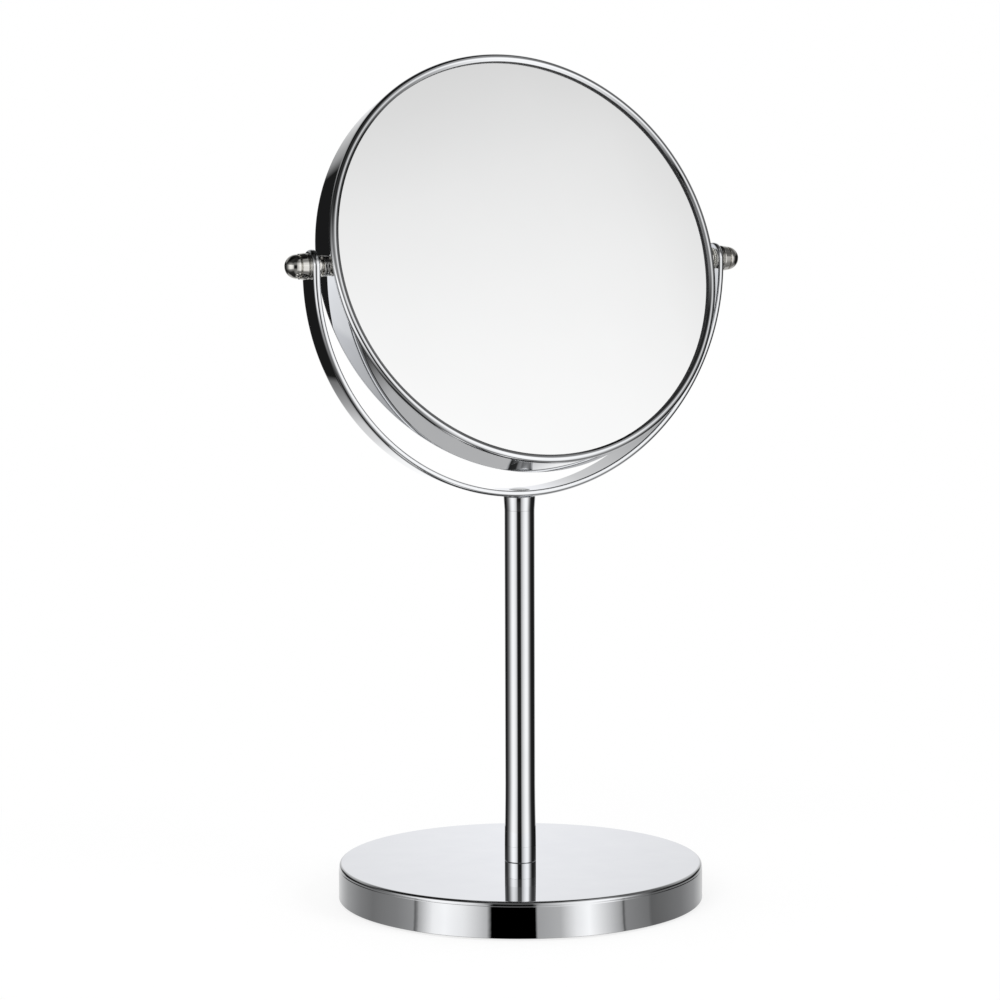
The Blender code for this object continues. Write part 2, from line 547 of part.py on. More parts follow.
def make_base_fastening():
    """Flat washer, split lock washer and hex bolt, up through the ballast into the stem."""
    bore = BASE_BOLT_RADIUS + CLEAR
    washer_top = BALLAST_UNDERSIDE - CLEAR
    washer_low = washer_top - BASE_WASHER_THICKNESS
    turned("base_washer", ring(bore, BASE_WASHER_RADIUS, washer_low, washer_top), ZINC, SMALL_STEPS)

    lock_top = washer_low - CLEAR
    lock_low = lock_top - LOCK_WASHER_THICKNESS
    lock = turned("base_lock_washer", ring(bore, LOCK_WASHER_RADIUS, lock_low, lock_top), ZINC, SMALL_STEPS)
    slit_mesh = bpy.data.meshes.new("lock_washer_slit")
    work = bmesh.new()
    bmesh.ops.create_cube(work, size=1.0)
    bmesh.ops.scale(work, verts=work.verts,
                    vec=(LOCK_WASHER_RADIUS * 2, LOCK_WASHER_SLIT, LOCK_WASHER_THICKNESS * 2))
    work.to_mesh(slit_mesh)
    work.free()
    slit = new_cutter("lock_washer_slit", slit_mesh)
    slit.location = (LOCK_WASHER_RADIUS, 0.0, (lock_low + lock_top) / 2)
    slit.rotation_euler.x = LOCK_WASHER_SLANT
    shape_with(lock, slit)

    head_top = lock_low - CLEAR
    tip = BASE_HEIGHT + LOWER_FERRULE_HEIGHT + SPIGOT_BORE_DEPTH - CLEAR
    neck = head_top - BASE_BOLT_HEAD_HEIGHT / 2
    shank = [(0.0, tip), (BASE_BOLT_RADIUS - FERRULE_CHAMFER, tip), (BASE_BOLT_RADIUS, tip - FERRULE_CHAMFER),
             (BASE_BOLT_RADIUS, neck), (0.0, neck)]
    bolt = turned("base_bolt", shank, ZINC, SMALL_STEPS, closed=False)
    corner_radius = BASE_BOLT_HEAD_FLATS / 2 / math.cos(math.radians(30.0))
    head = round_cutter("base_bolt_head", corner_radius, (0, 0, head_top - BASE_BOLT_HEAD_HEIGHT),
                        (0, 0, head_top), 6)
    shape_with(bolt, head, "UNION")


head_pivot, hoop_middle = make_head_frames()
make_band(hoop_middle, head_pivot)
make_bezels(hoop_middle)
make_mirrors(hoop_middle)
make_packing(hoop_middle)
for side_name, side_sign in (("left", -1), ("right", 1)):
    make_pivot(side_name, side_sign, head_pivot)
make_yoke()
make_stem()
make_yoke_screw()
make_base_shell()
make_base_filling()
make_base_fastening()
settle()
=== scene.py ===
"""Countertop mirror: finished surfaces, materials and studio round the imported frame.

The scene is in metres, +Z up, with the front towards -Y. Sizes in this script are millimetres and
are scaled by MM where a mesh is made.
"""
import json
import math

import bmesh
import bpy
from mathutils import Matrix, Quaternion, Vector


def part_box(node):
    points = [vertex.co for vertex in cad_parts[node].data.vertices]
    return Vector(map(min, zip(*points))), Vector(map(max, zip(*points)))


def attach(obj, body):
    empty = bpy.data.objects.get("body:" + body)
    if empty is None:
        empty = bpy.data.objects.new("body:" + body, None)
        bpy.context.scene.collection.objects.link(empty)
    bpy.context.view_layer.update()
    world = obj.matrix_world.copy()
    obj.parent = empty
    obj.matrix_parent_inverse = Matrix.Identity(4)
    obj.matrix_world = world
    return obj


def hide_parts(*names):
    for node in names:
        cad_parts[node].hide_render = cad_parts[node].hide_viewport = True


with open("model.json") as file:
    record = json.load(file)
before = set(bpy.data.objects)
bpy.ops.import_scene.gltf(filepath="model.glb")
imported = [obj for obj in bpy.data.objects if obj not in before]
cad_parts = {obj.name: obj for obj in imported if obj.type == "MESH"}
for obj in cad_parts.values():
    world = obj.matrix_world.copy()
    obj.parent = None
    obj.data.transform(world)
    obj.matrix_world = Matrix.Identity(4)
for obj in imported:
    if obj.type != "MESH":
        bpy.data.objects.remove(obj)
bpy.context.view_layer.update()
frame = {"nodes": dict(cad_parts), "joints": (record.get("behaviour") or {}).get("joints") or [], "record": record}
MM = 0.001


def low(node, axis):
    """Lowest coordinate of a CAD node along an axis."""
    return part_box(node)[0]["xyz".index(axis)] / MM


def high(node, axis):
    """Highest coordinate of a CAD node along an axis."""
    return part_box(node)[1]["xyz".index(axis)] / MM


# Camera, for a square picture
CAMERA_YAW = math.radians(-26.33)
CAMERA_PITCH = math.radians(6.14)
CAMERA_ROLL = math.radians(-0.195)
CAMERA_DISTANCE = 1521.0
CAMERA_AIM_HEIGHT = 192.6
CAMERA_SIDE_STEP = -9.25
CAMERA_LENS = 114.79
CAMERA_SENSOR = 36.0

# Sizes read from the frame
PIVOT_HEIGHT = frame["joints"][0]["pos_m"][2] / MM
HEAD_RADIUS = high("rim_band", "x") - 0.05
YOKE_RADIUS = high("yoke", "x")
YOKE_UNDERSIDE = low("yoke", "z")
YOKE_HALF_WIDTH = high("yoke", "y")
NUT_TIP = high("cap_nut_right", "x")
TUBE_RADIUS = high("stem_tube", "x")
TUBE_FOOT = low("stem_tube", "z")
TUBE_TOP = high("stem_tube", "z")
BASE_RADIUS = high("base_shell", "x")
BASE_HEIGHT = high("base_shell", "z")
BASE_FOOT = low("base_shell", "z")
PAD_RADIUS = high("base_pad", "x")

# Head: radius from its own axis, height towards the front mirror
HEAD_TILT = math.radians(18.4)
HOOP_ADVANCE = 0.8
HALF_DEPTH = 10.9
RIM_ROUND = 2.2
BAND_HALF_DEPTH = 8.2
BAND_WALL = 1.1
LIP_INNER = 96.3
LIP_ROUND = 0.4
LIP_DROP = 0.1
LIP_SLOPE = 1.3
LIP_EDGE = 10.14
LIP_UNDERSIDE = 9.95
SKIRT_WALL = 0.6
SKIRT_FOOT = 5.55
SEAL_INNER = 96.4
GLASS_RADIUS = 98.0
GLASS_FRONT = 8.6
GLASS_THICKNESS = 3.5
GLASS_CHAMFER = 0.3
MAGNIFIER_CURVATURE = 1000.0
MAGNIFIER_RINGS = 40
CUSHION_INNER = 84.0
CUSHION_OUTER = 94.5
BOARD_FRONT = 3.4
BOARD_REAR = 1.5

# Pivots: radius from the pivot axis, distance outwards along it
STUD_BORE = 2.6
SPACER_RADIUS = 4.9
SPACER_GROOVE = 3.4
SPACER_GROOVE_HALF_WIDTH = 0.4
SPACER_GROOVE_HALF_MOUTH = 0.55
WASHER_RADIUS = 5.3
WASHER_THICKNESS = 0.8
CUP_RADIUS = 6.0
CUP_HEIGHT = 1.0
NUT_RADIUS = 6.3
NUT_TAPER = 0.4
NUT_SHOULDER = 112.85
NUT_GROOVE = 4.8
NUT_GROOVE_TOP = 113.55
NUT_DOME = 5.65
NUT_BORE_TOP = 115.9
NUT_BORE_TIP = 116.5

# Stand
YOKE_THICKNESS = 3.1
YOKE_OUTER_ROUND = 1.8
YOKE_INNER_ROUND = 0.85
YOKE_LEG = 2.85
YOKE_CUTS = 240
YOKE_END_SEGMENTS = 24
SCREW_RADIUS = 2.5
SCREW_LENGTH = 18.0
SCREW_HEAD_RADIUS = 5.0
SCREW_HEAD_HEIGHT = 0.85
TUBE_WALL = 1.1
TUBE_FLARE = 26.0
TUBE_FOOT_STRAIGHT = 2.0
FOOT_COLLAR_RADIUS = 7.6
YOKE_COLLAR_RADIUS = 7.65
YOKE_COLLAR_FLARE = 6.0
SPIGOT_RADIUS = 5.8
SPIGOT_LENGTH = 19.0
SPIGOT_BORE_DEPTH = 12.0
BASE_ROUND = 1.4
BASE_LEDGE = 0.12
BASE_LEDGE_DEPTH = 2.1
BASE_LEDGE_DROP = 0.25
BASE_BEAD = 0.1
BASE_BEAD_HEIGHT = 2.1
BASE_BEAD_FOOT = 0.4
BASE_WALL = 1.0
BALLAST_RADIUS = 83.0
BALLAST_UNDERSIDE = 10.4
COVER_HOLE = 14.0
COVER_UNDERSIDE = 1.6
COVER_THICKNESS = 1.8
COVER_RIB = 79.0
COVER_RIB_HALF_WIDTH = 1.0
BASE_WASHER_RADIUS = 9.0
BASE_WASHER_THICKNESS = 1.5
LOCK_WASHER_RADIUS = 5.8
LOCK_WASHER_THICKNESS = 1.9
LOCK_WASHER_SLIT = math.radians(14.0)
BOLT_RADIUS = 3.0
BOLT_FLATS = 10.0
BOLT_HEAD = 4.0
BOLT_LENGTH = 28.0
BOLT_OVERLAP = 0.5

# Fineness
TOUCH = 0.04
RIM_STEPS = 288
STEM_STEPS = 96
SMALL_STEPS = 72
SHARP_ANGLE = math.radians(35.0)

STAND = Matrix.Identity(4)
PIVOT = Matrix.Translation((0, 0, PIVOT_HEIGHT * MM))
HEAD = PIVOT @ Matrix.Rotation(math.radians(90.0) - HEAD_TILT, 4, "X")
HOOP = HEAD @ Matrix.Translation((0, 0, HOOP_ADVANCE * MM))
TURN_OVER = Matrix.Rotation(math.pi, 4, "X")


# Materials

def new_finish(name, **constants):
    """A Principled material with its constant sockets set, and its node tree and shader."""
    material = bpy.data.materials.new(name)
    material.use_nodes = True
    shader = material.node_tree.nodes["Principled BSDF"]
    for socket, value in constants.items():
        shader.inputs[socket.replace("_", " ").title()].default_value = value
    return material, material.node_tree, shader


def object_place(tree, stretch=(1.0, 1.0, 1.0)):
    place = tree.nodes.new("ShaderNodeTexCoord")
    mapping = tree.nodes.new("ShaderNodeMapping")
    mapping.inputs["Scale"].default_value = stretch
    tree.links.new(place.outputs["Object"], mapping.inputs["Vector"])
    return mapping.outputs["Vector"]


def noise(tree, scale, detail, stretch=(1.0, 1.0, 1.0)):
    node = tree.nodes.new("ShaderNodeTexNoise")
    node.inputs["Scale"].default_value = scale
    node.inputs["Detail"].default_value = detail
    tree.links.new(object_place(tree, stretch), node.inputs["Vector"])
    return node.outputs["Fac"]


def cells(tree, scale):
    node = tree.nodes.new("ShaderNodeTexVoronoi")
    node.inputs["Scale"].default_value = scale
    tree.links.new(object_place(tree), node.inputs["Vector"])
    return node.outputs["Distance"]


def ramp(tree, source, stops):
    """Colour ramp through (position, grey or colour) stops."""
    node = tree.nodes.new("ShaderNodeValToRGB")
    elements = node.color_ramp.elements
    while len(elements) < len(stops):
        elements.new(0.5)
    for element, (position, colour) in zip(elements, stops):
        element.position = position
        element.color = (*colour, 1.0) if isinstance(colour, tuple) else (colour, colour, colour, 1.0)
    tree.links.new(source, node.inputs["Fac"])
    return node.outputs["Color"]


def vary(tree, shader, socket, source, stops):
    """Drive a shader socket from a texture through a ramp."""
    tree.links.new(ramp(tree, source, stops), shader.inputs[socket])


def bump(tree, shader, source, depth):
    node = tree.nodes.new("ShaderNodeBump")
    node.inputs["Distance"].default_value = depth * MM
    tree.links.new(source, node.inputs["Height"])
    tree.links.new(node.outputs["Normal"], shader.inputs["Normal"])


def polished_chrome():
    """Bright chrome with a faint buffing haze."""
    material, tree, shader = new_finish("polished_chrome", metallic=1.0)
    haze = noise(tree, 60.0, 4.0)
    vary(tree, shader, "Base Color", haze, [(0.3, (0.80, 0.81, 0.83)), (0.7, (0.83, 0.84, 0.855))])
    vary(tree, shader, "Roughness", haze, [(0.35, 0.012), (0.75, 0.03)])
    return material


def polished_nickel():
    """Warmer and softer than the chrome."""
    material, tree, shader = new_finish("polished_nickel", metallic=1.0)
    haze = noise(tree, 700.0, 4.0)
    vary(tree, shader, "Base Color", haze, [(0.3, (0.73, 0.715, 0.68)), (0.7, (0.78, 0.765, 0.73))])
    vary(tree, shader, "Roughness", haze, [(0.3, 0.05), (0.75, 0.08)])
    return material


def silvered_glass():
    material, tree, shader = new_finish("silvered_glass", metallic=1.0)
    wipe = noise(tree, 18.0, 5.0)
    vary(tree, shader, "Base Color", wipe, [(0.3, (0.94, 0.942, 0.942)), (0.7, (0.955, 0.957, 0.957))])
    vary(tree, shader, "Roughness", wipe, [(0.45, 0.0), (0.8, 0.012)])
    return material


def zinc_plate():
    material, tree, shader = new_finish("zinc_plate", metallic=1.0)
    grain = noise(tree, 900.0, 4.0)
    vary(tree, shader, "Base Color", grain, [(0.3, (0.48, 0.49, 0.50)), (0.7, (0.62, 0.63, 0.64))])
    vary(tree, shader, "Roughness", grain, [(0.3, 0.26), (0.7, 0.42)])
    return material


def cast_iron():
    material, tree, shader = new_finish("cast_iron", metallic=0.6)
    sand = noise(tree, 1200.0, 6.0)
    vary(tree, shader, "Base Color", sand, [(0.3, (0.07, 0.07, 0.07)), (0.7, (0.15, 0.145, 0.14))])
    vary(tree, shader, "Roughness", sand, [(0.3, 0.65), (0.7, 0.85)])
    bump(tree, shader, sand, 0.2)
    return material


def natural_nylon():
    material, tree, shader = new_finish("natural_nylon")
    cloud = noise(tree, 900.0, 3.0)
    vary(tree, shader, "Base Color", cloud, [(0.3, (0.76, 0.75, 0.69)), (0.7, (0.84, 0.83, 0.78))])
    vary(tree, shader, "Roughness", cloud, [(0.3, 0.38), (0.7, 0.52)])
    return material


def black_foam():
    material, tree, shader = new_finish("black_foam")
    pores = cells(tree, 2600.0)
    vary(tree, shader, "Base Color", pores, [(0.1, (0.010, 0.010, 0.010)), (0.6, (0.030, 0.030, 0.030))])
    vary(tree, shader, "Roughness", pores, [(0.1, 0.98), (0.6, 0.86)])
    bump(tree, shader, pores, 0.15)
    return material


def grey_fibreboard():
    material, tree, shader = new_finish("grey_fibreboard")
    fibres = noise(tree, 400.0, 8.0, (1.0, 6.0, 6.0))
    vary(tree, shader, "Base Color", fibres, [(0.3, (0.19, 0.17, 0.15)), (0.7, (0.29, 0.27, 0.25))])
    vary(tree, shader, "Roughness", fibres, [(0.3, 0.82), (0.7, 0.95)])
    bump(tree, shader, fibres, 0.1)
    return material


def black_plastic():
    material, tree, shader = new_finish("black_plastic")
    grain = cells(tree, 1700.0)
    vary(tree, shader, "Base Color", grain, [(0.1, (0.024, 0.024, 0.025)), (0.7, (0.034, 0.034, 0.036))])
    vary(tree, shader, "Roughness", grain, [(0.1, 0.62), (0.7, 0.52)])
    bump(tree, shader, grain, 0.03)
    return material


FINISHES = {
    "chrome": polished_chrome(),
    "nickel": polished_nickel(),
    "mirror_glass": silvered_glass(),
    "zinc_steel": zinc_plate(),
    "iron": cast_iron(),
    "nylon": natural_nylon(),
    "foam": black_foam(),
    "fibreboard": grey_fibreboard(),
    "plastic": black_plastic(),
}
SLOTS = {row["node"]: row["material_slot"] for row in frame["record"]["subparts"]}


# Mesh building

def add_mesh_object(name, work, material):
    mesh = bpy.data.meshes.new(name)
    work.to_mesh(mesh)
    work.free()
    obj = bpy.data.objects.new(name, mesh)
    mesh.materials.append(material)
    bpy.context.scene.collection.objects.link(obj)
    return obj


def add_piece(name, work, body, node):
    """Turn a bmesh into a piece that rides on a body and stands for a CAD node."""
    slot = SLOTS[node]
    piece = add_mesh_object(name, work, FINISHES[slot])
    piece.data.shade_smooth()
    piece.data.set_sharp_from_angle(angle=SHARP_ANGLE)
    even = piece.modifiers.new("even_shading", "WEIGHTED_NORMAL")
    even.keep_sharp = True
    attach(piece, body)
    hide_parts(node)
    return piece


def rounded_wire(work, corners, closed):
    """A wire in the XZ plane through (radius, height, rounding) corners, each rounded over."""
    points = [work.verts.new((r * MM, 0.0, z * MM)) for r, z, _ in corners]
    for start, end in zip(points, points[1:] + points[:closed]):
        work.edges.new((start, end))
    for point, (_, _, rounding) in zip(points, corners):
        if rounding:
            segments = max(2, round(10 * rounding ** 0.5))
            bmesh.ops.bevel(work, geom=[point], offset=rounding * MM, segments=segments, profile=0.5,
                            affect="VERTICES", material=-1)


def turned(corners, steps, closed=True, place=STAND):
    """Spin a rounded profile about local Z, then put it in its place."""
    work = bmesh.new()
    rounded_wire(work, corners, closed)
    bmesh.ops.spin(work, geom=work.verts[:] + work.edges[:], cent=(0, 0, 0), axis=(0, 0, 1),
                   angle=math.tau, steps=steps, use_merge=True)
    bmesh.ops.remove_doubles(work, verts=work.verts, dist=1e-7)
    bmesh.ops.recalc_face_normals(work, faces=work.faces)
    bmesh.ops.transform(work, matrix=place, verts=work.verts)
    return work


def ring(inner, outer, bottom, top, rounding):
    """Corners of a flat ring with its four edges rounded."""
    return [(inner, top, rounding), (outer, top, rounding), (outer, bottom, rounding),
            (inner, bottom, rounding)]


# Head

def dish_height(r):
    """Height of the magnifying mirror's inner face above its edge."""
    return (GLASS_RADIUS ** 2 - r ** 2) / (2 * MAGNIFIER_CURVATURE)


def make_head():
    band = ring(HEAD_RADIUS - BAND_WALL, HEAD_RADIUS, -BAND_HALF_DEPTH, BAND_HALF_DEPTH, 0.05)
    add_piece("hoop_band", turned(band, RIM_STEPS, place=HOOP), "head", "rim_band")

    seam = BAND_HALF_DEPTH + TOUCH
    skirt_outer = HEAD_RADIUS - BAND_WALL - TOUCH
    skirt_inner = skirt_outer - SKIRT_WALL
    cap = [(HEAD_RADIUS, seam, 0.05), (HEAD_RADIUS, HALF_DEPTH, RIM_ROUND),
           (LIP_INNER + LIP_SLOPE, HALF_DEPTH - LIP_DROP, LIP_ROUND), (LIP_INNER, LIP_EDGE, 0.05),
           (LIP_INNER + 0.1, LIP_UNDERSIDE, 0.05),
           (skirt_inner, LIP_UNDERSIDE, 0.05), (skirt_inner, SKIRT_FOOT, 0.1),
           (skirt_outer, SKIRT_FOOT, 0.1), (skirt_outer, seam, 0.05)]
    seal = ring(SEAL_INNER, GLASS_RADIUS, GLASS_FRONT + TOUCH, LIP_UNDERSIDE - TOUCH, 0.15)
    for side, place in (("front", HOOP), ("rear", HOOP @ TURN_OVER)):
        add_piece(side + "_rim_cap", turned(cap, RIM_STEPS, place=place), "head", side + "_bezel")
        add_piece(side + "_edge_seal", turned(seal, RIM_STEPS, place=place), "head", side + "_seal")

    glass_back = GLASS_FRONT - GLASS_THICKNESS
    flat = [(0, GLASS_FRONT, 0), (GLASS_RADIUS, GLASS_FRONT, GLASS_CHAMFER),
            (GLASS_RADIUS, glass_back, GLASS_CHAMFER), (0, glass_back, 0)]
    add_piece("front_glass", turned(flat, RIM_STEPS, False, HOOP), "head", "front_mirror")

    radii = [GLASS_RADIUS * i / MAGNIFIER_RINGS for i in range(MAGNIFIER_RINGS)]
    dish = [(r, dish_height(r) - glass_back, 0) for r in radii]
    dish += [(GLASS_RADIUS, -glass_back, GLASS_CHAMFER), (GLASS_RADIUS, -GLASS_FRONT, GLASS_CHAMFER)]
    dish += [(r, dish_height(r) - GLASS_FRONT, 0) for r in reversed(radii)]
    add_piece("rear_magnifier", turned(dish, RIM_STEPS, False, HOOP), "head", "rear_mirror")

    front = ring(CUSHION_INNER, CUSHION_OUTER, BOARD_FRONT + TOUCH, glass_back - TOUCH, 0.5)
    rear = [(CUSHION_INNER, BOARD_REAR - TOUCH, 0.5), (CUSHION_OUTER, BOARD_REAR - TOUCH, 0.5),
            (CUSHION_OUTER, dish_height(CUSHION_OUTER) - glass_back + TOUCH, 0.5),
            (CUSHION_INNER, dish_height(CUSHION_INNER) - glass_back + TOUCH, 0.5)]
    for side, corners in (("front", front), ("rear", rear)):
        work = turned(corners, RIM_STEPS, place=HOOP)
        foam = add_piece(side + "_foam_ring", work, "head", side + "_cushion")


def make_pivot(side, sign):
    """One pivot's turned pieces, from the band out to the cap nut."""
    outwards = Matrix.Rotation(sign * math.radians(90.0), 4, "Y")
    yoke_inner = YOKE_RADIUS - YOKE_THICKNESS
    washer_foot = yoke_inner - WASHER_THICKNESS
    washer = ring(STUD_BORE, WASHER_RADIUS, washer_foot, yoke_inner - TOUCH, 0.15)
    add_piece("nylon_washer_" + side, turned(washer, SMALL_STEPS, place=PIVOT @ outwards), "stand",
              "friction_washer_" + side)

    foot = HEAD_RADIUS + TOUCH
    top = washer_foot - TOUCH
    middle = (foot + top) / 2
    neck = SPACER_GROOVE_HALF_WIDTH
    mouth = SPACER_GROOVE_HALF_MOUTH
    spacer = [(STUD_BORE, top, 0.1), (SPACER_RADIUS, top, 0.35), (SPACER_RADIUS, middle + mouth, 0.2),
              (SPACER_GROOVE, middle + neck, 0.1), (SPACER_GROOVE, middle - neck, 0.1),
              (SPACER_RADIUS, middle - mouth, 0.2), (SPACER_RADIUS, foot, 0.35), (STUD_BORE, foot, 0.1)]
    cup_foot = YOKE_RADIUS + TOUCH
    cup_top = cup_foot + CUP_HEIGHT
    cup = [(STUD_BORE, cup_top, 0.1), (CUP_RADIUS - 0.5, cup_top, 0.3), (CUP_RADIUS, cup_foot + 0.4, 0.2),
           (CUP_RADIUS, cup_foot, 0.1), (STUD_BORE, cup_foot, 0.1)]
    seat = cup_top + TOUCH
    nut = [(0, NUT_TIP, 0), (NUT_DOME, NUT_TIP, NUT_DOME - 0.02), (NUT_DOME, NUT_GROOVE_TOP, 0.15),
           (NUT_GROOVE, NUT_GROOVE_TOP, 0.1), (NUT_GROOVE, NUT_SHOULDER, 0.1),
           (NUT_RADIUS - NUT_TAPER, NUT_SHOULDER, 0.2), (NUT_RADIUS, seat + 0.6, 0.4),
           (NUT_RADIUS - 0.6, seat, 0.2),
           (STUD_BORE, seat, 0.1), (STUD_BORE, NUT_BORE_TOP, 0), (0, NUT_BORE_TIP, 0)]
    place = HEAD @ outwards
    add_piece("grooved_spacer_" + side, turned(spacer, SMALL_STEPS, place=place), "head",
              "pivot_spacer_" + side)
    add_piece("dished_washer_" + side, turned(cup, SMALL_STEPS, place=place), "head", "cup_washer_" + side)
    add_piece("domed_nut_" + side, turned(nut, SMALL_STEPS, False, place), "head", "cap_nut_" + side)


# Stand

def make_yoke():
    """A flat bar with round ends, its edges broken, bent to a half ring with two short legs."""
    bend_radius = YOKE_RADIUS - YOKE_THICKNESS / 2
    centre = PIVOT_HEIGHT - YOKE_LEG
    half_arc = math.pi / 2 * bend_radius
    half_length = half_arc + YOKE_LEG + YOKE_HALF_WIDTH
    bores = (-half_arc - YOKE_LEG, 0.0, half_arc + YOKE_LEG)

    work = bmesh.new()
    bmesh.ops.create_grid(work, x_segments=1, y_segments=1, size=1.0)
    bmesh.ops.scale(work, vec=(half_length * MM, YOKE_HALF_WIDTH * MM, 1.0), verts=work.verts)
    bmesh.ops.bevel(work, geom=work.verts[:], offset=(YOKE_HALF_WIDTH - 0.002) * MM,
                    segments=YOKE_END_SEGMENTS, profile=0.5, affect="VERTICES", material=-1)
    bmesh.ops.delete(work, geom=work.faces[:], context="FACES_ONLY")
    for along in bores:
        bmesh.ops.create_circle(work, segments=SMALL_STEPS, radius=STUD_BORE * MM,
                                matrix=Matrix.Translation((along * MM, 0, 0)))
    bmesh.ops.triangle_fill(work, use_beauty=True, edges=work.edges[:], normal=(0, 0, 1))
    raised = bmesh.ops.extrude_face_region(work, geom=work.faces[:])
    top = [item for item in raised["geom"] if isinstance(item, bmesh.types.BMVert)]
    bmesh.ops.translate(work, vec=(0, 0, YOKE_THICKNESS * MM), verts=top)
    bmesh.ops.translate(work, vec=(0, 0, -YOKE_THICKNESS / 2 * MM), verts=work.verts)
    bmesh.ops.recalc_face_normals(work, faces=work.faces)
    for side, rounding in ((1, YOKE_OUTER_ROUND), (-1, YOKE_INNER_ROUND)):
        level = side * YOKE_THICKNESS / 2 * MM
        rims = [edge for edge in work.edges if all(abs(vert.co.z - level) < 1e-6 for vert in edge.verts)
                and edge.calc_face_angle() > math.radians(60.0)
                and all((edge.verts[0].co.xy / MM - Vector((along, 0))).length > STUD_BORE + 0.1
                        for along in bores)]
        bmesh.ops.bevel(work, geom=rims, offset=rounding * MM, segments=8, profile=0.5, affect="EDGES",
                        material=-1)
    for i in range(YOKE_CUTS + 1):
        along = (2 * i / YOKE_CUTS - 1) * half_arc * MM
        bmesh.ops.bisect_plane(work, geom=work.verts[:] + work.edges[:] + work.faces[:], dist=1e-7,
                               plane_co=(along, 0, 0), plane_no=(1, 0, 0))
    for vert in work.verts:
        along, across, out = vert.co / MM
        bent = max(-half_arc, min(half_arc, along))
        angle = bent / bend_radius
        radius = bend_radius + out
        rise = abs(along) - abs(bent)
        vert.co = Vector((math.sin(angle) * radius, across, centre + rise - math.cos(angle) * radius)) * MM
    bmesh.ops.recalc_face_normals(work, faces=work.faces)
    add_piece("bent_yoke", work, "stand", "yoke")

    seat = centre - YOKE_RADIUS + YOKE_THICKNESS + 0.12
    tip = seat - SCREW_LENGTH
    crown = seat + SCREW_HEAD_HEIGHT
    screw = [(0, crown, 0), (SCREW_HEAD_RADIUS * 0.4, crown - SCREW_HEAD_HEIGHT * 0.14, 0.9),
             (SCREW_HEAD_RADIUS * 0.8, crown - SCREW_HEAD_HEIGHT * 0.6, 0.9),
             (SCREW_HEAD_RADIUS, seat + 0.08, 0.06), (SCREW_HEAD_RADIUS, seat, 0.02),
             (SCREW_RADIUS, seat, 0.05), (SCREW_RADIUS, tip, 0.4), (0, tip, 0)]
    add_piece("low_yoke_screw", turned(screw, SMALL_STEPS, False), "stand", "yoke_screw")


def make_stem():
    tube = [(TUBE_RADIUS - TUBE_WALL, TUBE_TOP, 0.06), (TUBE_RADIUS, TUBE_TOP, 0.03),
            (TUBE_RADIUS, TUBE_FOOT + TUBE_FLARE, 4.0),
            (FOOT_COLLAR_RADIUS, TUBE_FOOT + TUBE_FOOT_STRAIGHT, 2.0),
            (FOOT_COLLAR_RADIUS, TUBE_FOOT, 0.03), (TUBE_RADIUS - TUBE_WALL, TUBE_FOOT, 0.06)]
    add_piece("stem_pipe", turned(tube, STEM_STEPS), "stand", "stem_tube")

    bolt_bore = BOLT_RADIUS + 0.2
    foot = BASE_HEIGHT + TOUCH
    shoulder = TUBE_FOOT - TOUCH
    bore_top = shoulder + SPIGOT_BORE_DEPTH
    lower = [(0, shoulder + SPIGOT_LENGTH, 0), (SPIGOT_RADIUS, shoulder + SPIGOT_LENGTH, 0.4),
             (SPIGOT_RADIUS, shoulder, 0.05), (FOOT_COLLAR_RADIUS, shoulder, 0.03),
             (FOOT_COLLAR_RADIUS, foot, 0.3), (bolt_bore, foot, 0.2), (bolt_bore, bore_top, 0),
             (0, bore_top + bolt_bore / 2, 0)]
    add_piece("foot_ferrule", turned(lower, STEM_STEPS, False), "stand", "lower_ferrule")

    screw_bore = SCREW_RADIUS + 0.1
    crown = YOKE_UNDERSIDE - TOUCH
    seat = TUBE_TOP + TOUCH
    bore_foot = seat - SPIGOT_BORE_DEPTH
    upper = [(0, bore_foot - screw_bore / 2, 0), (screw_bore, bore_foot, 0), (screw_bore, crown, 0.2),
             (YOKE_COLLAR_RADIUS, crown, 0.4), (YOKE_COLLAR_RADIUS, seat + YOKE_COLLAR_FLARE, 2.0),
             (TUBE_RADIUS, seat, 0.03), (SPIGOT_RADIUS, seat, 0.05),
             (SPIGOT_RADIUS, seat - SPIGOT_LENGTH, 0.4), (0, seat - SPIGOT_LENGTH, 0)]
    add_piece("yoke_ferrule", turned(upper, STEM_STEPS, False), "stand", "upper_ferrule")


